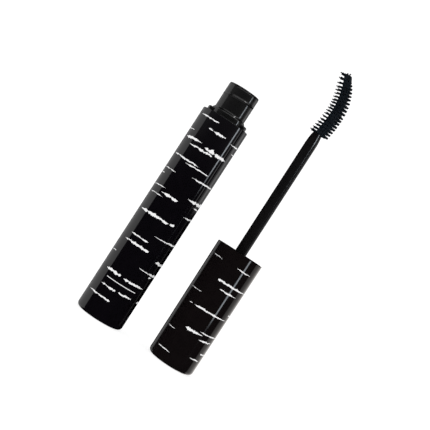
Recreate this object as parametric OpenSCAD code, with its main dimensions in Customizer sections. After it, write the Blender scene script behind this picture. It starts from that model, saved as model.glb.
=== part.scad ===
// Mascara tube, opened. The tube stands on its base, and the screw cap stands beside it on its
// closed end, so that the rod and the curved brush that it carries point up.
// Millimetres, +Z up. The origin is the centre of the tube's base, in the plane that both stand on.
// Closed, the cap turned over would sit with its rim on the tube's shoulder.

/* [Tube] */
// Outer diameter of the tube and of the cap's rim
tube_d = 18.5; // [18:0.1:20]
// Height of the tube's shoulder above its base
tube_h = 84.2; // [80:0.2:90]
// Wall of the outer tube and of the cap's shell
shell_wall = 0.8; // [0.6:0.1:0.9]
// Thickness of the closed ends of the outer tube and of the cap's shell
end_wall = 1.2; // [1:0.1:1.6]
// Radius of the rounded edge round the tube's base
base_round = 1.4; // [0.8:0.1:2]
// Wall of the inner bottle
bottle_wall = 1.1; // [0.8:0.1:1.2]
// Height to which the bottle is filled
fill_h = 66; // [40:1:72]

/* [Neck] */
// Outer diameter of the neck between its threads
neck_d = 12.2; // [11.9:0.1:12.3]
// Height of the top of the neck above the shoulder
neck_h = 12.2; // [12:0.1:13]
// Bore of the neck
neck_bore_d = 9.4; // [9.2:0.1:9.6]
// Diameter of the collar at the foot of the neck
collar_d = 13.4; // [13.2:0.1:13.6]
// Distance from the axis to the outside of the two stop lugs
lug_r = 8; // [7.4:0.1:8]
// Angle that each stop lug covers
lug_angle = 50; // [30:1:60]
// What the cap rises in one turn of the thread
thread_lead = 2; // [1.8:0.1:2.2]
// How far the neck's thread stands out
thread_height = 0.25; // [0.2:0.01:0.28]

/* [Wiper] */
// Diameter of the wiping hole
orifice_d = 4.7; // [4.5:0.1:4.9]
// Height of the wiping hole's wall
orifice_h = 1.2; // [1:0.1:1.5]

/* [Cap] */
// Height of the cap
cap_h = 47; // [44:0.1:50]
// Outer diameter of the cap at its closed end, to which it narrows from its rim
cap_end_d = 18.1; // [17.9:0.1:18.5]
// Radius of the rounded edge round the cap's closed end
cap_round = 1.6; // [0.8:0.1:2]
// Distance between the axis of the tube and the axis of the cap
cap_x = 30.4; // [24:0.1:40]
// Ribs between the cap's liner and its shell
rib_count = 12; // [6:1:16]

/* [Rod] */
// Diameter of the rod
rod_d = 4.4; // [4.2:0.05:4.5]
// Height of the rod's top above the surface that the cap stands on
rod_top = 98; // [95:0.1:100]

/* [Brush] */
// Radius of the brush's curve below its widest bow
foot_curve_r = 45; // [40:1:60]
// Lean of the brush at its foot, away from the tube
foot_lean = 12; // [6:1:14]
// Radius of the brush's curve above its widest bow
tip_curve_r = 29; // [24:0.5:34]
// Lean of the brush at its tip, towards the tube
tip_lean = 28; // [22:1:32]
// Diameter of the brush's core at its foot
core_d = 3.3; // [3:0.1:3.5]
// Rings of bristles
ring_count = 19; // [12:1:20]
// Bristles in one ring
ring_bristles = 10; // [6:1:12]
// Reach of the bristles inside the brush's curve, from the middle of the core
inner_reach = 3.7; // [3.2:0.1:4]
// Reach of the bristles outside the curve, at the brush's foot
outer_reach = 3.5; // [3:0.1:3.8]

/* [Hidden] */
$fn = 96;
gloss_black = "#0b0b0d";
satin_black = "#17171a";
arc_step = 15;
edge = 0.15;        // small chamfer on a moulded edge
fit_gap = 0.05;     // between pieces that are pushed together
cut = 1;            // how far a cutter runs past the face that it opens

// Outer tube and its label
tube_r = tube_d / 2;
sleeve_r = tube_r - shell_wall;
label_r = 6.5;
label_t = 0.15;

// Inner bottle
bottle_r = sleeve_r - fit_gap;
bottle_z = end_wall + fit_gap;
bottle_round = 1;
cavity_r = bottle_r - bottle_wall;
cavity_z = bottle_z + bottle_wall;
cavity_top = tube_h - 3;
neck_r = neck_d / 2;
neck_bore_r = neck_bore_d / 2;
neck_top = tube_h + neck_h;
collar_r = collar_d / 2;
collar_h = 2;
collar_slope_h = 0.7;
lug_h = 1.7;
lip_round = 0.15;
snap_z = neck_top - 2.6;    // middle of the groove that holds the wiper
snap_h = 0.8;
snap_depth = 0.25;

// Thread
thread_foot_w = 1.8;
thread_crest_w = 0.2;
thread_root = 0.3;          // how deep the thread is set into its wall
thread_start = 5.2;         // depth of the neck thread's lower end below the neck's top
half_turns = 3;
parting_gap = 30;           // angle at which the mould's parting line interrupts the thread

// Wiper
flange_r = neck_r - 0.05;
flange_t = 0.5;
wiper_wall = 0.65;
wiper_r = neck_bore_r - fit_gap;
orifice_r = orifice_d / 2;
orifice_z = tube_h - 0.4;
cone_z = tube_h + 3.4;
lip_t = 0.45;

// Formula
formula_r = cavity_r - fit_gap;
formula_z = cavity_z + fit_gap;
channel_r = 3.9;
channel_z = 9;

// Cap: depths are measured down from its rim, as it stands
cap_end_r = cap_end_d / 2;
liner_r = sleeve_r - fit_gap;
liner_top = cap_h - lug_h - 0.2;
liner_skirt_h = 1.6;
liner_bore_r = neck_r + 0.4;
liner_thread_reach = 0.32;
liner_wall = 1;
mouth_bore_r = collar_r + 0.2;
mouth_bore_z = cap_h - 3;
gasket_t = 1;
gasket_gap = 0.06;
gasket_r = liner_bore_r - gasket_gap;
seat_z = cap_h - neck_h - flange_t - gasket_t - 0.2;    // seat of the gasket in the liner
seat_t = 1.2;
rib_w = 1;
rib_z = seat_z + 1;
socket_r = 3.6;
socket_z = 16;

// Rod
rod_r = rod_d / 2;
rod_tip_r = 1.75;
rod_shoulder_h = 5;         // height over which the rod narrows to its tip
rod_foot_z = socket_z + 2;
barb_z = rod_foot_z + 3;
barb_h = 0.8;
barb_reach = 0.3;
plug_r = 1;
plug_depth = 6;

// Brush
core_r = core_d / 2;
core_tip_share = 0.75;      // the core's radius at its tip, as a share of its radius at the foot
brush_foot_x = 0.6;         // offset of the brush's foot from the rod's axis
brush_foot_z = rod_top + 0.1;
bow_x = brush_foot_x + foot_curve_r * (1 - cos(foot_lean));
bow_z = brush_foot_z + foot_curve_r * sin(foot_lean);
foot_length = foot_curve_r * foot_lean * PI / 180;
brush_length = foot_length + tip_curve_r * tip_lean * PI / 180;
first_ring = 0.02;          // places of the rings, as shares of the brush's length
last_ring = 0.995;
ring_turn = 4;              // angle of the first bristle in each ring
max_ring_lean = 16;
core_sides = 22;
core_steps = 23;
bristle_foot_r = 0.26;
bristle_tip_r = 0.13;
stub_r = 0.3;               // how much thicker the bristles outside the curve are
bristle_root = 0.5;         // how deep a bristle's foot is set into the core
bristle_fn = 5;

// Outline of a rounded bottom edge, from the flat end to the wall
function end_arc(r, round, z) =
    [for (a = [0 : arc_step : 90]) [r - round + round * sin(a), z + round - round * cos(a)]];

// Cup that stands on its closed end, and can narrow towards it from r to end_r
module cup(r, end_r, h, wall, floor_t, round) {
    outside = concat([[0, 0]], end_arc(end_r, round, 0), [[r, h - edge], [r - edge, h]]);
    inside = [[r - wall, h], [r - wall, floor_t], [0, floor_t]];
    rotate_extrude() polygon(concat(outside, inside));
}

// Flat ring
module ring(outer_r, inner_r, h) {
    rotate_extrude() translate([inner_r, 0]) square([outer_r - inner_r, h]);
}

// Half turn of a screw thread: a half ring, tilted to rise by half the lead. root_r lies inside
// the wall that carries the thread, and crest_r is its free edge.
module half_thread(root_r, crest_r) {
    tilt = atan(thread_lead / 4 / max(root_r, crest_r));
    outline = [[root_r, -thread_foot_w / 2], [crest_r, -thread_crest_w / 2],
               [crest_r, thread_crest_w / 2], [root_r, thread_foot_w / 2]];
    rotate([0, -tilt, 0]) rotate([0, 0, 180 + parting_gap / 2])
        rotate_extrude(angle = 180 - parting_gap) polygon(outline);
}

// Right-hand thread, whose lower end is at the origin's height on the -X side
module thread(root_r, crest_r) {
    for (i = [0 : half_turns - 1])
        translate([0, 0, thread_lead * (i / 2 + 0.25)])
            rotate([0, 0, 180 * i]) half_thread(root_r, crest_r);
}

module outer_tube() {
    color(gloss_black) difference() {
        cup(tube_r, tube_r, tube_h, shell_wall, end_wall, base_round);
        translate([0, 0, -cut]) cylinder(r = label_r, h = cut + label_t);
    }
}

// Sticker let into the tube's base, flush with it
module base_label() {
    color("#d9d6cf") cylinder(r = label_r, h = label_t);
}

// Stop lug beside the collar, on the +X side
module stop_lug() {
    translate([0, 0, tube_h - edge]) rotate([0, 0, -lug_angle / 2]) rotate_extrude(angle = lug_angle)
        polygon([[collar_r - 0.4, 0], [lug_r, 0], [lug_r, lug_h - edge], [lug_r - edge, lug_h],
                 [collar_r - 0.4, lug_h]]);
}

module bottle_body() {
    outside = concat([[0, bottle_z]], end_arc(bottle_r, bottle_round, bottle_z), [
        [bottle_r, tube_h], [collar_r, tube_h],
        [collar_r, tube_h + collar_h], [neck_r, tube_h + collar_h + collar_slope_h],
        [neck_r, neck_top - lip_round], [neck_r - lip_round, neck_top]]);
    inside = [
        [neck_bore_r, neck_top],
        [neck_bore_r, snap_z + snap_h / 2], [neck_bore_r + snap_depth, snap_z + snap_h / 4],
        [neck_bore_r + snap_depth, snap_z - snap_h / 4], [neck_bore_r, snap_z - snap_h / 2],
        [neck_bore_r, tube_h - 1], [cavity_r, cavity_top]];
    rotate_extrude() difference() {
        polygon(concat(outside, inside, [[0, cavity_top]]));
        polygon(concat([[0, cavity_z]], end_arc(cavity_r, bottle_round, cavity_z),
            [[cavity_r, cavity_top], [0, cavity_top]]));
    }
}

module inner_bottle() {
    color(gloss_black) union() {
        bottle_body();
        translate([0, 0, neck_top - thread_start]) rotate([0, 0, 180])
            thread(neck_r - thread_root, neck_r + thread_height);
        stop_lug();
        mirror([1, 0, 0]) stop_lug();
    }
}

// Soft insert in the neck. Its cone ends in the hole that wipes the rod and the brush.
module wiper() {
    inner_r = wiper_r - wiper_wall;
    bead = snap_depth - fit_gap;
    outside = [
        [orifice_r + lip_t, orifice_z], [orifice_r + lip_t, orifice_z + orifice_h],
        [wiper_r, cone_z], [wiper_r, snap_z - snap_h / 2], [wiper_r + bead, snap_z - snap_h / 4],
        [wiper_r + bead, snap_z + snap_h / 4], [wiper_r, snap_z + snap_h / 2],
        [wiper_r, neck_top], [flange_r, neck_top],
        [flange_r, neck_top + flange_t - edge], [flange_r - edge, neck_top + flange_t]];
    inside = [
        [inner_r + 0.4, neck_top + flange_t], [inner_r, neck_top - 0.4],
        [inner_r, cone_z], [orifice_r, orifice_z + orifice_h], [orifice_r, orifice_z]];
    color(satin_black) rotate_extrude() polygon(concat(outside, inside));
}

// Mascara in the bottle, with the channel that the brush leaves in it
module formula() {
    outside = concat([[0, formula_z]], end_arc(formula_r, bottle_round, formula_z), [[formula_r, fill_h]]);
    color("#050506") difference() {
        rotate_extrude() polygon(concat(outside, [[0, fill_h]]));
        translate([0, 0, channel_z]) cylinder(r = channel_r, h = fill_h);
        translate([0, 0, channel_z]) sphere(r = channel_r);
    }
}

module cap_shell() {
    color(gloss_black) translate([cap_x, 0, 0]) cup(tube_r, cap_end_r, cap_h, shell_wall, end_wall, cap_round);
}

// Liner of the cap: thread for the neck, seat of the gasket and socket of the rod
module inner_cap() {
    foot_z = seat_z - seat_t;
    outside = [
        [rod_r + fit_gap, socket_z], [socket_r, socket_z], [socket_r, foot_z],
        [liner_bore_r + liner_wall, foot_z],
        [liner_bore_r + liner_wall, liner_top - liner_skirt_h], [liner_r, liner_top - liner_skirt_h],
        [liner_r, liner_top - edge], [liner_r - edge, liner_top]];
    inside = [
        [mouth_bore_r, liner_top], [mouth_bore_r, mouth_bore_z], [liner_bore_r, mouth_bore_z - 0.4],
        [liner_bore_r, seat_z], [rod_r + fit_gap, seat_z]];
    barb_r = rod_r + barb_reach + fit_gap;
    color(satin_black) translate([cap_x, 0, 0]) union() {
        difference() {
            rotate_extrude() polygon(concat(outside, inside));
            translate([0, 0, barb_z - barb_h / 2 - fit_gap]) cylinder(r = barb_r, h = barb_h + 2 * fit_gap);
        }
        translate([0, 0, seat_z + 3.4])
            thread(liner_bore_r + thread_root, liner_bore_r - liner_thread_reach);
        for (i = [0 : rib_count - 1]) rotate([0, 0, 360 * i / rib_count]) rib();
    }
}

// Rib between the liner and the shell
module rib() {
    inner = liner_bore_r + liner_wall / 2;
    translate([inner, -rib_w / 2, rib_z])
        cube([liner_r - fit_gap - inner, rib_w, liner_top - liner_skirt_h / 2 - rib_z]);
}

// Gasket on its seat in the liner, round the foot of the rod
module seal_ring() {
    color("#3a3a3d") translate([cap_x, 0, seat_z + gasket_gap])
        ring(gasket_r, rod_r + gasket_gap, gasket_t);
}

module rod() {
    shaft = [
        [0, rod_foot_z], [rod_r - 0.4, rod_foot_z], [rod_r, rod_foot_z + 0.8],
        [rod_r, barb_z - barb_h / 2], [rod_r + barb_reach, barb_z],
        [rod_r + barb_reach, barb_z + barb_h / 4], [rod_r, barb_z + barb_h / 2]];
    shoulder = [for (u = [0 : 0.2 : 1])
        [rod_r - (rod_r - rod_tip_r) * pow(u, 2.2), rod_top - rod_shoulder_h * (1 - u)]];
    socket = [[plug_r, rod_top], [plug_r, rod_top - plug_depth], [0, rod_top - plug_depth]];
    color("#120f0f") translate([cap_x, 0, 0])
        rotate_extrude() polygon(concat(shaft, shoulder, socket));
}

// Reach of a bristle at a place on the brush, from 0 at its foot to 1 at its tip, and in a direction
// round the core, from 0 outside the curve to 180 inside it
function reach(t, a) =
    let (inner = inner_reach - 0.7 * pow(t, 8), outer = outer_reach - 2.1 * pow(t, 2.2))
    (inner + outer) / 2 + (outer - inner) / 2 * cos(a);

// The brush's curve is two arcs that meet at its widest bow: the radius of the arc, the lean of
// the curve and the point on it, at a place from 0 at its foot to 1 at its tip
function curve_r(t) = t * brush_length < foot_length ? foot_curve_r : tip_curve_r;
function curve_lean(t) = (t * brush_length - foot_length) / curve_r(t) * 180 / PI;
function curve_point(t) = [
    cap_x + bow_x - curve_r(t) * (1 - cos(curve_lean(t))), 0,
    bow_z + curve_r(t) * sin(curve_lean(t))];

// Radius of the core at a place on the brush
function core_radius(t) = core_r * (1 - (1 - core_tip_share) * pow(t, 2));

// Moves its children from the origin to a place on the brush's curve. Rings of bristles lie flat up
// to the widest bow, and lean towards the tip above it.
module on_curve(t) {
    lean = max(0, min(max_ring_lean, 1.4 * curve_lean(t)));
    translate(curve_point(t)) rotate([0, -lean, 0]) children();
}

// Bristle on the brush's core, along +X turned by an angle round Z
module bristle(t, turn) {
    foot = core_radius(t) - bristle_root;
    stub = stub_r * max(0, cos(turn));
    rotate([0, 0, turn]) hull() rotate([0, 90, 0]) translate([0, 0, foot])
        cylinder(r1 = bristle_foot_r + stub, r2 = bristle_tip_r, h = reach(t, turn) - foot,
                 $fn = bristle_fn);
}

// Ring of points round the brush's core, at a place on the curve, moved along it
function core_ring(t, along, radius) = [
    for (k = [0 : core_sides - 1])
        let (a = curve_lean(t), side = radius * cos(360 * k / core_sides))
        curve_point(t) + [side * cos(a) - along * sin(a), radius * sin(360 * k / core_sides),
                          side * sin(a) + along * cos(a)]];

module brush_core() {
    dome = [30, 60, 80];
    foot = [for (p = core_ring(0, 0, core_r)) [p[0], p[1], brush_foot_z]];
    shaft = [for (i = [1 : core_steps]) core_ring(i / core_steps, 0, core_radius(i / core_steps))];
    tip = [for (b = dome) core_ring(1, core_radius(1) * sin(b), core_radius(1) * cos(b))];
    rings = concat([foot], shaft, tip);
    last = len(rings) - 1;
    sides = [for (i = [0 : last - 1]) for (k = [0 : core_sides - 1])
        let (m = (k + 1) % core_sides)
        [i * core_sides + k, (i + 1) * core_sides + k, (i + 1) * core_sides + m, i * core_sides + m]];
    foot_face = [for (k = [0 : core_sides - 1]) k];
    tip_face = [for (k = [core_sides - 1 : -1 : 0]) last * core_sides + k];
    polyhedron([for (r = rings) for (p = r) p], concat(sides, [foot_face, tip_face]));
}

module brush_head() {
    color("#101417") union() {
        brush_core();
        translate([cap_x, 0, rod_top - plug_depth + fit_gap])
            cylinder(r = plug_r - fit_gap, h = plug_depth + 0.6, $fn = core_sides);
        for (i = [0 : ring_count - 1]) {
            t = first_ring + (last_ring - first_ring) * i / (ring_count - 1);
            turn = ring_turn + (i % 2 == 0 ? 0 : 180 / ring_bristles);
            on_curve(t) for (k = [0 : ring_bristles - 1]) bristle(t, turn + 360 * k / ring_bristles);
        }
    }
}

outer_tube();
inner_bottle();
wiper();
formula();
base_label();
cap_shell();
inner_cap();
seal_ring();
rod();
brush_head();
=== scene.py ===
"""Looks of the opened mascara tube: a glossy black tube and cap printed with white birch-bark
flecks, the screw neck with its wiper, and the rod with its curved moulded brush.

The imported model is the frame. Its hard parts stay as they are and get their materials here. The
brush is made again with finer bristles, and the printed flecks are made as thin islands of ink.
Metres, +Z up. The camera looks along +Y. Azimuths run from the camera's side (-Y) towards +X.
"""

import math
import random

import bpy
from mathutils import Matrix, Vector, noise


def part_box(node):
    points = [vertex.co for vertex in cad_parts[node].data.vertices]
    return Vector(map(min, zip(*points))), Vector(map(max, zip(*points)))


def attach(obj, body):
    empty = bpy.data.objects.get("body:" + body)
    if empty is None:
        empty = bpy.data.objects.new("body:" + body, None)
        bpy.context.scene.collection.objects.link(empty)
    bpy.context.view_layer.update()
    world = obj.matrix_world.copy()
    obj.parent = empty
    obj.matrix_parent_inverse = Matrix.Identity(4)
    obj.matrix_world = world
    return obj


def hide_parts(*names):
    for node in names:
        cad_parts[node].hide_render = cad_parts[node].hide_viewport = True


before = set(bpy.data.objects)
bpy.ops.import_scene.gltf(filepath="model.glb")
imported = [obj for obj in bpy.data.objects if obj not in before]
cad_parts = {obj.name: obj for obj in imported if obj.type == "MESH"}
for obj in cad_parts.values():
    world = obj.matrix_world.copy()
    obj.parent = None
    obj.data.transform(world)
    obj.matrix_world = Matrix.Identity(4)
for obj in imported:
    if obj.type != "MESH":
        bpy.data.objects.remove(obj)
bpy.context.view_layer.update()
MM = 0.001

# ---------------------------------------------------------------- sizes, from the frame

TUBE_LOW, TUBE_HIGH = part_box("outer_tube")
CAP_LOW, CAP_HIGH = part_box("cap_shell")
ROD_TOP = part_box("rod")[1].z
TUBE_R = (TUBE_HIGH.x - TUBE_LOW.x) / 2
CAP_R = (CAP_HIGH.x - CAP_LOW.x) / 2
CAP_X = (CAP_HIGH.x + CAP_LOW.x) / 2
CAP_END_R = 9.05 * MM       # at its closed end, which it stands on


def tube_radius(z):
    """The tube is as wide at every height."""
    return TUBE_R


def cap_radius(z):
    """The cap widens evenly from its closed end up to its mouth."""
    return CAP_END_R + (CAP_R - CAP_END_R) * z / CAP_HIGH.z


# ---------------------------------------------------------------- mesh helpers

class Shell:
    """Vertices and faces of one mesh, gathered piece by piece."""

    def __init__(self):
        self.verts = []
        self.faces = []

    def loft(self, rings):
        """Closed skin over rings of points. A ring with one point is an apex."""
        starts = []
        for ring in rings:
            starts.append(len(self.verts))
            self.verts.extend(ring)
        for i in range(len(rings) - 1):
            self._band(starts[i], len(rings[i]), starts[i + 1], len(rings[i + 1]))
        if len(rings[0]) > 1:
            self.faces.append([starts[0] + i for i in reversed(range(len(rings[0])))])
        if len(rings[-1]) > 1:
            self.faces.append([starts[-1] + i for i in range(len(rings[-1]))])

    def _band(self, a, count_a, b, count_b):
        """Faces between two rings that start at vertices a and b."""
        if count_a == 1:
            self.faces.extend([a, b + (i + 1) % count_b, b + i] for i in range(count_b))
        elif count_b == 1:
            self.faces.extend([a + i, a + (i + 1) % count_a, b] for i in range(count_a))
        else:
            for i in range(count_a):
                j = (i + 1) % count_a
                self.faces.append([a + i, a + j, b + j, b + i])

    def to_object(self, name, material, smooth=True):
        mesh = bpy.data.meshes.new(name)
        mesh.from_pydata([tuple(v) for v in self.verts], [], self.faces)
        mesh.update()
        mesh.polygons.foreach_set("use_smooth", [smooth] * len(mesh.polygons))
        mesh.materials.append(material)
        obj = bpy.data.objects.new(name, mesh)
        bpy.context.scene.collection.objects.link(obj)
        return obj


# ---------------------------------------------------------------- materials

class Nodes:
    """A material with a Principled shader, and short calls for the nodes that feed it."""

    def __init__(self, name, **sockets):
        self.material = bpy.data.materials.new(name)
        self.material.use_nodes = True
        self.tree = self.material.node_tree
        self.shader = self.tree.nodes["Principled BSDF"]
        for socket, value in sockets.items():
            self.shader.inputs[socket.replace("_", " ")].default_value = value
        self.coords = self.tree.nodes.new("ShaderNodeTexCoord").outputs["Object"]

    def link(self, output, socket):
        self.tree.links.new(output, self.shader.inputs[socket])

    def stretched(self, scale):
        """Object coordinates in millimetres, stretched by scale."""
        mapping = self.tree.nodes.new("ShaderNodeMapping")
        mapping.inputs["Scale"].default_value = [s / MM for s in scale]
        self.tree.links.new(self.coords, mapping.inputs["Vector"])
        return mapping.outputs["Vector"]

    def noise(self, scale, detail=3.0, roughness=0.5, stretch=(1, 1, 1)):
        """Noise with a frequency of scale per millimetre."""
        node = self.tree.nodes.new("ShaderNodeTexNoise")
        node.inputs["Scale"].default_value = scale
        node.inputs["Detail"].default_value = detail
        node.inputs["Roughness"].default_value = roughness
        self.tree.links.new(self.stretched(stretch), node.inputs["Vector"])
        return node.outputs["Fac"]

    def ramp(self, value, stops):
        """Colours or greys along a value: (place, colour) pairs."""
        node = self.tree.nodes.new("ShaderNodeValToRGB")
        elements = node.color_ramp.elements
        while len(elements) < len(stops):
            elements.new(0.5)
        for element, (place, colour) in zip(elements, stops):
            element.position = place
            element.color = (*colour, 1) if hasattr(colour, "__len__") else (colour, colour, colour, 1)
        self.tree.links.new(value, node.inputs["Fac"])
        return node.outputs["Color"]

    def bump(self, height, strength, depth, soft_edge=0):
        """Bump whose full height is depth millimetres, over edges rounded by soft_edge millimetres."""
        node = self.tree.nodes.new("ShaderNodeBump")
        node.inputs["Strength"].default_value = strength
        node.inputs["Distance"].default_value = depth * MM
        self.tree.links.new(height, node.inputs["Height"])
        if soft_edge:
            bevel = self.tree.nodes.new("ShaderNodeBevel")
            bevel.samples = 8
            bevel.inputs["Radius"].default_value = soft_edge * MM
            self.tree.links.new(bevel.outputs["Normal"], node.inputs["Normal"])
        self.link(node.outputs["Normal"], "Normal")


def plastic(name, dark, light, gloss, dull, ior=1.48, peel=0.002, soft_edge=0.12):
    """Moulded plastic with an uneven tint, a roughness from gloss to dull and a faint orange peel."""
    m = Nodes(name, IOR=ior)
    m.link(m.ramp(m.noise(0.35, 4), [(0.3, dark), (0.7, light)]), "Base Color")
    m.link(m.ramp(m.noise(1.3, 5, 0.6), [(0.35, gloss), (0.75, dull)]), "Roughness")
    m.bump(m.noise(1.1, 1), 0.3, peel, soft_edge)
    return m.material


def ink(name):
    """White printing ink: thin in places, so that the black below dulls it, with a matt grain."""
    m = Nodes(name, IOR=1.45)
    thin, full = (0.60, 0.61, 0.62), (0.86, 0.86, 0.86)
    m.link(m.ramp(m.noise(3.5, 6, 0.65, (1, 1, 2.5)), [(0.28, thin), (0.5, full)]), "Base Color")
    m.link(m.ramp(m.noise(6, 3), [(0.3, 0.5), (0.7, 0.75)]), "Roughness")
    m.bump(m.noise(14, 3), 0.4, 0.01)
    return m.material


def paper(name):
    """Paper sticker with fibres."""
    m = Nodes(name, IOR=1.4)
    dark, light = (0.62, 0.60, 0.56), (0.74, 0.72, 0.68)
    m.link(m.ramp(m.noise(1.5, 8, 0.7, (1, 4, 1)), [(0.3, dark), (0.7, light)]), "Base Color")
    m.link(m.ramp(m.noise(3, 4), [(0.3, 0.6), (0.7, 0.8)]), "Roughness")
    m.bump(m.noise(5, 6, 0.6, (1, 3, 1)), 0.4, 0.01)
    return m.material


def formula_paint(name):
    """Wet mascara, dragged into soft folds by the brush."""
    m = Nodes(name, IOR=1.42)
    dark, light = (0.002, 0.002, 0.002), (0.006, 0.006, 0.007)
    m.link(m.ramp(m.noise(0.8, 4), [(0.3, dark), (0.7, light)]), "Base Color")
    m.link(m.ramp(m.noise(0.9, 4), [(0.3, 0.18), (0.7, 0.4)]), "Roughness")
    m.bump(m.noise(0.7, 5, 0.6, (1, 1, 0.4)), 0.8, 0.3)
    return m.material


# Darkest and lightest tint of each plastic
TUBE_BLACKS = (0.0022, 0.0018, 0.0027), (0.0029, 0.0023, 0.0034)
CAP_BLACKS = (0.0041, 0.0030, 0.0032), (0.0050, 0.0037, 0.0039)
BOTTLE_BLACKS = (0.0034, 0.0033, 0.0035), (0.0048, 0.0046, 0.0049)
WIPER_BLACKS = (0.003, 0.003, 0.003), (0.006, 0.006, 0.006)
LINER_BLACKS = (0.003, 0.003, 0.003), (0.005, 0.005, 0.005)
SEAL_GREYS = (0.03, 0.03, 0.032), (0.045, 0.045, 0.048)
ROD_BLACKS = (0.0046, 0.0042, 0.0045), (0.0062, 0.0057, 0.0060)
BRUSH_BLACKS = (0.0050, 0.0085, 0.0125), (0.0085, 0.0145, 0.0205)

MATERIALS = {
    "outer_tube": plastic("lacquer_tube", *TUBE_BLACKS, 0.05, 0.09),
    "cap_shell": plastic("lacquer_cap", *CAP_BLACKS, 0.05, 0.09),
    "inner_bottle": plastic("bottle_black", *BOTTLE_BLACKS, 0.1, 0.17, peel=0.004, soft_edge=0.5),
    "wiper": plastic("wiper_black", *WIPER_BLACKS, 0.2, 0.3, peel=0.004, soft_edge=0.3),
    "inner_cap": plastic("liner_black", *LINER_BLACKS, 0.25, 0.4, peel=0.005),
    "seal_ring": plastic("seal_foam", *SEAL_GREYS, 0.5, 0.7, peel=0.02),
    "rod": plastic("rod_black", *ROD_BLACKS, 0.12, 0.2, peel=0.004),
    "formula": formula_paint("mascara"),
    "base_label": paper("sticker"),
}
for node_name, node_material in MATERIALS.items():
    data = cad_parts[node_name].data
    data.materials.clear()
    data.materials.append(node_material)


# ---------------------------------------------------------------- brush

FOOT_CURVE_R = 45 * MM      # the curve below the widest bow, and its lean at the foot
FOOT_LEAN = 12
TIP_CURVE_R = 29 * MM       # the curve above it, and its lean at the tip
TIP_LEAN = 28
MAX_RING_LEAN = 16          # degrees, as the leans above
CORE_R = 1.65 * MM
CORE_SWELL = 0.22 * MM      # how much the core swells just past the rod's tip
SWELL_END = 0.06            # the share of the brush's length where the swell is full
CORE_TAPER = 0.25           # how much of CORE_R is lost by the brush's tip
PLUG_R = 0.9 * MM           # the plug that holds the brush in the rod
PLUG_DEPTH = 5 * MM
RINGS = 19
RING_BRISTLES = 11
END_BRISTLES = 5
BRISTLE_FLARE = 0.2 * MM    # how much a bristle widens at its foot
BRISTLE_SINK = 0.4 * MM     # how deep its foot lies in the core
FOOT_LENGTH = FOOT_CURVE_R * math.radians(FOOT_LEAN)
BRUSH_LENGTH = FOOT_LENGTH + TIP_CURVE_R * math.radians(TIP_LEAN)
BRUSH_FOOT = Vector((CAP_X + 0.6 * MM, 0, ROD_TOP + 0.1 * MM))     # a little off the rod's axis
DEPTH = Vector((0, 1, 0))   # away from the camera, at right angles to the brush's curve


def arc_offset(radius, lean):
    """From the widest bow, where the curve is upright, to the place where it leans by lean radians."""
    return Vector((-radius * (1 - math.cos(lean)), 0, radius * math.sin(lean)))


BOW = BRUSH_FOOT - arc_offset(FOOT_CURVE_R, -math.radians(FOOT_LEAN))


def leaning(lean):
    """Directions along and across something that leans towards -X by lean radians."""
    return Vector((-math.sin(lean), 0, math.cos(lean))), Vector((math.cos(lean), 0, math.sin(lean)))


def brush_frame(t):
    """Point at share t of the brush's curve, the directions along and across it, and its lean."""
    past_bow = t * BRUSH_LENGTH - FOOT_LENGTH
    radius = FOOT_CURVE_R if past_bow < 0 else TIP_CURVE_R
    lean = past_bow / radius
    along, side = leaning(lean)
    return BOW + arc_offset(radius, lean), along, side, lean


def core_radius(t):
    """The core swells just past the rod's tip and thins towards its own."""
    return CORE_R * (1 - CORE_TAPER * t ** 2) + CORE_SWELL * min(1, t / SWELL_END)


def bristle_reach(t, inside):
    """Length from the middle of the core. inside goes from 0 outside the brush's curve to 1 inside it."""
    inner = 3.9 + 0.3 * max(0, 1 - t / 0.3) - 0.4 * t ** 8
    outer = 3.6 - 2.25 * t ** 3.1
    return (outer + (inner - outer) * inside) * MM


def ring_points(centre, u, v, radius, count):
    """Points of a circle in the plane of the directions u and v."""
    angles = [math.tau * i / count for i in range(count)]
    return [centre + (u * math.cos(a) + v * math.sin(a)) * radius for a in angles]


def add_core(shell, sides=28, steps=60):
    """Plug in the rod's end, core along the brush's curve, and a domed tip, in one skin."""
    x = Vector((1, 0, 0))
    rings = []
    for z in (ROD_TOP - PLUG_DEPTH, ROD_TOP - 0.02 * MM):
        rings.append(ring_points(Vector((CAP_X, 0, z)), x, DEPTH, PLUG_R, sides))
    for i in range(steps + 1):
        t = i / steps
        centre, along, side, _ = brush_frame(t)
        rings.append(ring_points(centre, side if i else x, DEPTH, core_radius(t), sides))
    centre, along, side, _ = brush_frame(1)
    tip_r, tip_h = core_radius(1), 0.55 * core_radius(1)
    for angle in (20, 40, 60, 78):
        a = math.radians(angle)
        middle = centre + along * tip_h * math.sin(a)
        rings.append(ring_points(middle, side, DEPTH, tip_r * math.cos(a), sides))
    rings.append([centre + along * tip_h])
    shell.loft(rings)


def add_bristle(shell, centre, outward, along, root, reach, foot_r, tip_r, droop, sides=8):
    """Tapered bristle with a flared foot and a round tip, drooping a little along its length."""
    across = along.cross(outward).normalized()
    length = reach - root
    rings = []
    for share in (0, 0.10, 0.16, 0.24, 0.36, 0.52, 0.70, 0.86, 0.95):
        flare = BRISTLE_FLARE * math.exp(-(max(0, share - 0.10) / 0.08) ** 2)
        radius = foot_r + (tip_r - foot_r) * share + flare
        point = centre + outward * (root + length * share) + along * droop * share * share
        rings.append(ring_points(point, across, along, radius, sides))
    tip = centre + outward * reach + along * droop
    rings.append(ring_points(tip - outward * tip_r * 0.35, across, along, tip_r * 0.72, sides))
    rings.append([tip])
    shell.loft(rings)


def ring_lean(t, curve_lean):
    """Rings lie flat up to the widest bow and lean with the curve above it. The last ones tip back."""
    return max(0, min(MAX_RING_LEAN, 1.4 * math.degrees(curve_lean))) * min(1, (1 - t) / 0.08 - 0.5)


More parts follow.
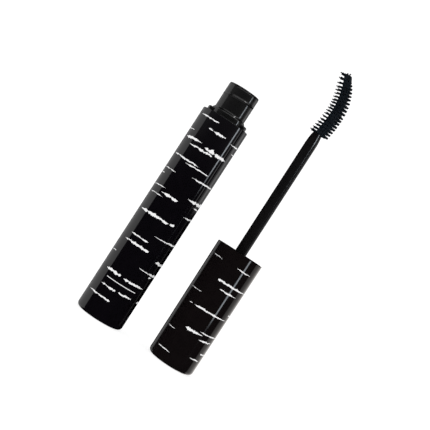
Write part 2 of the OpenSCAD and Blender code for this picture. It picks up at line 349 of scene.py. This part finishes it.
def add_rings(shell, rnd):
    """Rings of bristles, thicker outside the brush's curve than inside it."""
    for i in range(RINGS):
        t = 0.02 + 0.975 * i / (RINGS - 1)
        centre, _, _, curve_lean = brush_frame(t)
        along, side = leaning(math.radians(ring_lean(t, curve_lean)))
        root = core_radius(t) - BRISTLE_SINK
        for k in range(RING_BRISTLES):
            angle = math.pi + math.tau * k / RING_BRISTLES + math.radians(rnd.uniform(-2, 2))
            outward = side * math.cos(angle) + DEPTH * math.sin(angle)
            tilt = math.radians(rnd.uniform(-2, 2))
            outward = (outward + along * math.tan(tilt)).normalized()
            outside = max(0.0, math.cos(angle))
            reach = bristle_reach(t, (1 - math.cos(angle)) / 2) * rnd.uniform(0.98, 1.0)
            foot_r, tip_r = (0.26 + 0.3 * outside) * MM, (0.2 + 0.04 * outside) * MM
            droop = -0.12 * MM * rnd.uniform(0.3, 1.0) * (1 - t)
            add_bristle(shell, centre, outward, along, root, reach, foot_r, tip_r, droop)


def add_end_bristles(shell, rnd):
    """A few short, thick bristles that fan out from the brush's tip."""
    centre, along, side, _ = brush_frame(1)
    for k in range(END_BRISTLES):
        angle = math.tau * (k + 0.5) / END_BRISTLES
        around = side * math.cos(angle) + DEPTH * math.sin(angle)
        outward = (along + around * 0.75).normalized()
        reach = rnd.uniform(1.75, 2.0) * MM
        add_bristle(shell, centre, outward, around, 0.3 * MM, reach, 0.34 * MM, 0.28 * MM, 0)


def make_brush():
    rnd = random.Random(19)
    shell = Shell()
    add_core(shell)
    add_rings(shell, rnd)
    add_end_bristles(shell, rnd)
    brush = shell.to_object("brush", plastic("brush_black", *BRUSH_BLACKS, 0.28, 0.42, soft_edge=0))
    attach(brush, "wand")
    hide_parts("brush_head")
    return brush


brush = make_brush()


# ---------------------------------------------------------------- printed flecks

INK_T = 0.03 * MM       # how proud the ink stands
INK_SINK = 0.04 * MM    # how deep an island's underside lies in the wall, so that no gap shows
FLECK_ROUGHNESS = 1.1
FLECK_STEP = 0.12       # between sections along a fleck, in millimetres like the next two
FLECK_WANDER = 0.14     # how far a fleck wanders up and down
THINNEST_HALF = 0.03    # half the thickness that a tail keeps

# Each fleck: azimuth of its two ends in degrees; height of its middle, its thickness and how much it
# rises from end to end, in millimetres; and the part of its length that is thick, between thin tails.
TUBE_FLECKS = [
    (-62, -7, 81.5, 0.40, -0.1, 0.3, 1), (-19, -9, 78.1, 0.45, 0, 0, 1),
    (-7, 24, 78.1, 0.60, 0.1, 0.2, 1), (41, 82, 77.6, 0.35, 0.1, 0.3, 0.8),
    (-85, -52, 75.1, 0.22, 0, 0.3, 1), (66, 84, 74.9, 0.30, 0, 0, 1),
    (-76, -30, 58.8, 0.22, -0.1, 0.2, 1), (-80, -60, 56.6, 0.20, 0, 0.3, 1),
    (27, 92, 53.2, 0.80, 0, 0.2, 0.9), (56, 88, 51.3, 0.35, 0, 0, 1),
    (-75, -30, 51.9, 0.24, 0.3, 0.2, 0.8), (-34, 10, 50.3, 0.75, 0.1, 0.3, 1),
    (-68, -24, 48.9, 0.28, 0, 0.1, 0.8), (43, 88, 47.0, 0.45, 0.4, 0.2, 1),
    (-62, 20, 41.9, 0.75, 0.2, 0.25, 1), (24, 35, 42.3, 0.60, 0.1, 0, 1),
    (8, 92, 36.0, 0.45, 0.5, 0.4, 1), (-42, 6, 32.7, 0.38, 0, 0.1, 0.9),
    (-50, 17, 29.9, 0.70, -0.1, 0.25, 1), (46, 92, 27.8, 0.75, -0.1, 0.1, 1),
    (-74, -53, 24.1, 0.20, 0, 0, 1), (19, 92, 23.2, 0.65, -0.4, 0.45, 1), (55, 63, 22.2, 0.45, 0, 0, 1),
    (70, 90, 12.0, 0.45, 0, 0, 1), (-60, 4, 8.0, 0.45, -0.1, 0.3, 1),
    # In the place of the lettering: more flecks of the same kind, and a plain rule between the last four
    (-66, -14, 72.2, 0.80, 0.2, 0.2, 0.9), (-4, 60, 71.4, 0.90, -0.1, 0.1, 0.8),
    (-40, 20, 70.1, 0.65, 0.1, 0.2, 1), (-70, 8, 64.6, 0.38, -0.3, 0.1, 0.9),
    (-22, 40, 63.6, 0.32, 0.4, 0.2, 0.9), (8, 80, 60.4, 0.40, 0.3, 0.2, 0.9),
    (-48, -6, 17.7, 0.70, 0.1, 0.2, 1), (2, 60, 17.4, 0.65, -0.1, 0.1, 0.8),
    (-36, 2, 12.1, 0.65, 0, 0.2, 1), (10, 46, 12.3, 0.60, 0.1, 0, 0.8),
]
RULE = (-33, 45, 15.0, 0.24)    # azimuths of its ends, height and thickness
CAP_FLECKS = [
    (-58, -29, 42.1, 0.20, -0.4, 0.1, 0.7), (10, 50, 42.0, 0.38, 0, 0.2, 0.7),
    (-12, 78, 35.4, 0.70, 0, 0, 0.6), (2, 50, 32.7, 0.42, 0, 0.1, 0.8),
    (-66, -30, 28.3, 0.18, 0.2, 0.2, 0.9), (66, 84, 25.9, 0.40, 0, 0, 1),
    (-41, -33, 23.3, 0.25, 0, 0, 1), (-27, 68, 23.6, 0.55, 0.5, 0.1, 0.5),
    (18, 78, 16.4, 0.35, 0.2, 0.1, 0.8), (-16, 29, 15.2, 0.75, 0.4, 0.1, 0.7),
    (25, 64, 13.8, 0.50, 0.5, 0.3, 1), (-60, -35, 12.3, 0.22, 0, 0.3, 0.8),
    (54, 72, 9.2, 0.40, 0, 0, 1), (31, 62, 6.5, 0.38, -0.1, 0.2, 0.9),
    (-54, -15, 4.5, 0.26, -0.2, 0.2, 0.8),
]


def ragged(seed, place):
    """Edge factor about 1 that changes along a fleck, slowly and in small jags."""
    slow = noise.noise(Vector((place * 0.9, seed * 7.3, 0.5)))
    fast = noise.noise(Vector((place * 3.1, seed * 3.1, 9.5)))
    return 1 + FLECK_ROUGHNESS * (0.9 * slow + 0.8 * fast)


def ink_section(azimuth, axis_x, radius, bottom, top):
    """Four corners of the ink's section at an azimuth, between two heights in millimetres."""
    outward = Vector((math.sin(azimuth), -math.cos(azimuth), 0))
    corners = ((-INK_SINK, bottom), (INK_T, bottom), (INK_T, top), (-INK_SINK, top))
    return [Vector((axis_x, 0, h * MM)) + outward * (radius(h * MM) + proud) for proud, h in corners]


def between(start, end, share):
    return start + (end - start) * share


def fleck_width(share, thick_from, thick_to):
    """Share of a fleck's full thickness: a thick part between two tails that thin out."""
    rise = 1 if share >= thick_from else share / thick_from
    fall = 1 if share <= thick_to else (1 - share) / (1 - thick_to)
    ends = min(1, (0.02 + share) / 0.07, (1.02 - share) / 0.09) ** 0.5
    return (0.15 + 0.85 * min(rise, fall) ** 1.5) * ends


def add_fleck(shell, axis_x, radius, start, end, z, thickness, rise, thick_from, thick_to, seed):
    """Closed ragged island of ink bent round a cylinder."""
    arc = math.radians(end - start) * radius(z * MM) / MM
    steps = max(8, int(arc / FLECK_STEP))
    rings = []
    for i in range(steps + 1):
        share = i / steps
        place = share * arc
        half = thickness / 2 * fleck_width(share, thick_from, thick_to)
        wander = FLECK_WANDER * noise.noise(Vector((place * 0.5, seed, 3.3)))
        middle = z + rise * (share - 0.5) + wander
        top = middle + max(THINNEST_HALF, half * ragged(seed, place))
        bottom = middle - max(THINNEST_HALF, half * ragged(seed + 50, place))
        azimuth = math.radians(between(start, end, share))
        rings.append(ink_section(azimuth, axis_x, radius, bottom, top))
    shell.loft(rings)


def add_rule(shell, axis_x, radius, start, end, z, thickness, steps=40):
    """Straight line of ink bent round a cylinder."""
    bottom, top = z - thickness / 2, z + thickness / 2
    azimuths = [math.radians(between(start, end, i / steps)) for i in range(steps + 1)]
    shell.loft([ink_section(azimuth, axis_x, radius, bottom, top) for azimuth in azimuths])


BACK_END = 267      # azimuth just short of the left ends of the flecks listed above


def back_flecks(rnd, count, z_low, z_high):
    """Flecks of the same kind round the back, at scattered heights."""
    made = []
    for i in range(count):
        z = between(z_low, z_high, (i + rnd.uniform(0.2, 0.8)) / count)
        start = rnd.uniform(95, 235)
        end = min(start + rnd.uniform(18, 70), BACK_END)
        made.append((start, end, z, rnd.uniform(0.35, 0.8), rnd.uniform(-0.4, 0.5),
                     rnd.uniform(0, 0.4), rnd.uniform(0.6, 1)))
    return made


def make_flecks(name, body, axis_x, radius, flecks, seed, rules=()):
    """All the ink on one cylinder, as one object. radius gives the cylinder's radius at a height."""
    shell = Shell()
    for i, fleck in enumerate(flecks):
        add_fleck(shell, axis_x, radius, *fleck, seed + i)
    for rule in rules:
        add_rule(shell, axis_x, radius, *rule)
    obj = shell.to_object(name, ink(name + "_ink"), smooth=False)
    obj.visible_glossy = False      # the photograph shows none of the pattern mirrored in the other piece
    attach(obj, body)
    return obj


tube_flecks = make_flecks("tube_flecks", "container", 0, tube_radius,
                          TUBE_FLECKS + back_flecks(random.Random(5), count=34, z_low=4, z_high=82),
                          seed=1, rules=[RULE])
cap_flecks = make_flecks("cap_flecks", "wand", CAP_X, cap_radius,
                         CAP_FLECKS + back_flecks(random.Random(8), count=20, z_low=4, z_high=45),
                         seed=200)


# ---------------------------------------------------------------- floor, light and camera

def in_direction(azimuth, elevation=0):
    """Direction out from the origin, at an azimuth and an elevation in degrees."""
    a, e = math.radians(azimuth), math.radians(elevation)
    return Vector((math.sin(a) * math.cos(e), -math.cos(a) * math.cos(e), math.sin(e)))


FLOOR_HALF = 3.0


def make_floor():
    """White paper under the object. It takes a faint shadow, but isn't mirrored and lights nothing."""
    mesh = bpy.data.meshes.new("floor")
    corners = [(x * FLOOR_HALF, y * FLOOR_HALF, 0) for x, y in ((-1, -1), (1, -1), (1, 1), (-1, 1))]
    mesh.from_pydata(corners, [], [(0, 1, 2, 3)])
    floor = bpy.data.objects.new("floor", mesh)
    bpy.context.scene.collection.objects.link(floor)
    m = Nodes("floor_paper", Roughness=0.9, Emission_Strength=0.8)
    m.shader.inputs["Emission Color"].default_value = (1, 1, 1, 1)
    m.shader.inputs["Specular IOR Level"].default_value = 0
    m.link(m.ramp(m.noise(0.02, 4), [(0.3, 0.29), (0.7, 0.31)]), "Base Color")
    mesh.materials.append(m.material)
    floor.visible_glossy = False
    floor.visible_diffuse = False
    floor.visible_shadow = False


def make_world():
    """White surroundings, which the camera sees and no reflection shows."""
    world = bpy.data.worlds.new("studio")
    bpy.context.scene.world = world
    world.use_nodes = True
    background = world.node_tree.nodes["Background"]
    background.inputs["Color"].default_value = (1, 1, 1, 1)
    background.inputs["Strength"].default_value = 1.12
    world.cycles_visibility.glossy = False


LIGHT_DISTANCE = 1.5


def new_softbox(name, width, height, radiance, matrix, receivers):
    """Rectangular light that shows only in the reflections of its receivers."""
    light = bpy.data.lights.new(name, "AREA")
    light.shape = "RECTANGLE"
    light.size, light.size_y = width, height
    light.energy = math.pi * width * height * radiance
    obj = bpy.data.objects.new(name, light)
    bpy.context.scene.collection.objects.link(obj)
    obj.matrix_world = matrix
    obj.visible_camera = False
    obj.visible_diffuse = False
    obj.light_linking.receiver_collection = receivers
    return light


def make_softbox(name, azimuths, heights, radiance, receivers, colour=(1, 1, 1), across=None, fade=None):
    """Upright softbox between two azimuths and two heights. across is its radiance at the second
    azimuth, and fade the heights between which it comes up from black."""
    a, b = (in_direction(azimuth) * LIGHT_DISTANCE for azimuth in azimuths)
    x_axis = (b - a).normalized()
    z_axis = x_axis.cross(Vector((0, 0, 1))).normalized()
    middle = (a + b) / 2
    if z_axis.dot(middle) < 0:
        x_axis, z_axis = -x_axis, -z_axis
    matrix = Matrix((x_axis, Vector((0, 0, 1)), z_axis)).transposed().to_4x4()
    matrix.translation = middle + Vector((0, 0, sum(heights) / 2))
    light = new_softbox(name, (b - a).length, heights[1] - heights[0], 1, matrix, receivers)
    light.color = colour
    light.use_nodes = True
    tree = light.node_tree
    place = tree.nodes.new("ShaderNodeNewGeometry").outputs["Position"]
    strength = ramp_between(tree, dot_node(tree, place, x_axis), a.dot(x_axis), b.dot(x_axis),
                            radiance, radiance if across is None else across)
    if fade:
        height = dot_node(tree, place, Vector((0, 0, 1)))
        strength = product_node(tree, strength, ramp_between(tree, height, fade[0], fade[1], 0, 1))
    tree.links.new(strength, tree.nodes["Emission"].inputs["Strength"])


def make_overhead(name, azimuth, elevation, width, height, radiance, receivers):
    """Even softbox above or below the object that faces the origin."""
    place = in_direction(azimuth, elevation) * LIGHT_DISTANCE
    matrix = place.to_track_quat("Z", "Y").to_matrix().to_4x4()
    matrix.translation = place
    new_softbox(name, width, height, radiance, matrix, receivers)


def product_node(tree, value, factor):
    node = tree.nodes.new("ShaderNodeMath")
    node.operation = "MULTIPLY"
    tree.links.new(value, node.inputs[0])
    tree.links.new(factor, node.inputs[1])
    return node.outputs[0]


def dot_node(tree, vector, axis):
    node = tree.nodes.new("ShaderNodeVectorMath")
    node.operation = "DOT_PRODUCT"
    tree.links.new(vector, node.inputs[0])
    node.inputs[1].default_value = axis
    return node.outputs["Value"]


def ramp_between(tree, value, low, high, out_low, out_high):
    """Smooth change from out_low to out_high while the value goes from low to high."""
    node = tree.nodes.new("ShaderNodeMapRange")
    node.interpolation_type = "SMOOTHSTEP"
    tree.links.new(value, node.inputs["Value"])
    if low > high:
        low, high, out_low, out_high = high, low, out_high, out_low
    limits = {"From Min": low, "From Max": high, "To Min": out_low, "To Max": out_high}
    for socket, number in limits.items():
        node.inputs[socket].default_value = number
    return node.outputs["Result"]


def group_of(name, objects):
    """Collection of objects, for lights that only they reflect."""
    collection = bpy.data.collections.new(name)
    for obj in objects:
        collection.objects.link(obj)
    return collection


CAMERA_PLACE = Vector((15.25, -385, 53.6)) * MM
CAMERA_ROLL = math.radians(32.9)
CAMERA_LENS = 89.6      # millimetres, on a 36 mm sensor


def make_camera():
    """Level camera, rolled so that the upright object leans to the right as in the photograph."""
    right = Vector((math.cos(CAMERA_ROLL), 0, math.sin(CAMERA_ROLL)))
    up = Vector((-math.sin(CAMERA_ROLL), 0, math.cos(CAMERA_ROLL)))
    data = bpy.data.cameras.new("camera")
    data.sensor_width = 36
    data.lens = CAMERA_LENS
    data.clip_start, data.clip_end = 0.01, 20
    camera = bpy.data.objects.new("camera", data)
    bpy.context.scene.collection.objects.link(camera)
    matrix = Matrix((right, up, Vector((0, -1, 0)))).transposed().to_4x4()
    matrix.translation = CAMERA_PLACE
    camera.matrix_world = matrix
    bpy.context.scene.camera = camera


COOL = (0.85, 0.93, 1)
WARM = (1, 0.96, 0.93)
LOW_FADE = (0.03, 0.065)
FRONT_FADE = (0.05, 0.32)


def light_tube(tube, neck, lip):
    """Softboxes for the tube, the neck above it and the wiper's lip. Most fade out towards the floor."""
    make_softbox("tube_left", (-81.5, -160), (-0.9, 1.2), 0.95, tube, across=0.45)
    make_softbox("tube_strip", (74.8, 80.8), (-0.1, 0.3), 7, tube, COOL, fade=(0.06, 0.14))
    make_softbox("tube_stripe", (93.5, 103), (-0.1, 0.8), 0.9, tube, fade=LOW_FADE)
    make_softbox("tube_right", (118, 136), (-0.1, 0.8), 0.6, tube, fade=LOW_FADE)
    make_softbox("tube_behind", (103, 175), (-0.1, 0.8), 0.33, tube, fade=LOW_FADE)
    make_softbox("tube_front", (-60, 70), (0.0, 0.8), 0.24, tube, fade=FRONT_FADE)
    make_softbox("tube_front_left", (-60, -81.5), (0.0, 0.8), 0.24, tube, fade=FRONT_FADE)
    make_softbox("tube_front_right", (70, 93.5), (0.0, 0.8), 0.28, tube, fade=FRONT_FADE)
    make_overhead("tube_key", 85, 70, 0.2, 0.2, 20, tube)
    make_overhead("tube_above", 15, 55, 5, 1.6, 1.1, tube)
    make_overhead("lip_above", 28, 44, 0.9, 1.2, 3, lip)
    make_overhead("neck_below", 0, -55, 4, 2.4, 0.3, neck)


def light_cap(cap):
    """Softboxes for the cap. They lie low, because its narrowing sides face a little downwards."""
    make_softbox("cap_left", (-127, -152), (-0.9, 0.05), 0.45, cap)
    make_softbox("cap_strip", (54.5, 61.5), (-0.4, 0.05), 5.8, cap, COOL, fade=(-0.128, -0.098))
    make_softbox("cap_right", (98, 175), (-0.9, 0.2), 0.5, cap, WARM, across=1.4)
    make_softbox("cap_right_low", (95, 175), (-0.9, 0), 0.1, cap, WARM, across=0.3, fade=(-0.07, -0.16))


def light_wand(wand, rod):
    """Softboxes for a broad soft side on the rod and the brush, and for a bright line on the rod."""
    make_softbox("rod_right", (84, 165), (-0.2, 1.2), 0.4, wand, across=0.2)
    make_softbox("rod_key", (47, 60), (0.27, 0.9), 9, rod, COOL)


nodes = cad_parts
tube_pieces = [nodes["outer_tube"], nodes["inner_bottle"], nodes["wiper"], tube_flecks]
tube_group = group_of("tube_pieces", tube_pieces)
cap_group = group_of("cap_pieces", [nodes["cap_shell"], nodes["inner_cap"], cap_flecks])
wand_group = group_of("wand_pieces", [nodes["rod"], brush])
neck_group = group_of("neck_pieces", [nodes["inner_bottle"]])
lip_group = group_of("lip_pieces", [nodes["wiper"]])
rod_group = group_of("rod_alone", [nodes["rod"]])
make_floor()
make_world()
light_tube(tube_group, neck_group, lip_group)
light_cap(cap_group)
light_wand(wand_group, rod_group)
make_camera()
bpy.context.scene.view_settings.view_transform = "Standard"
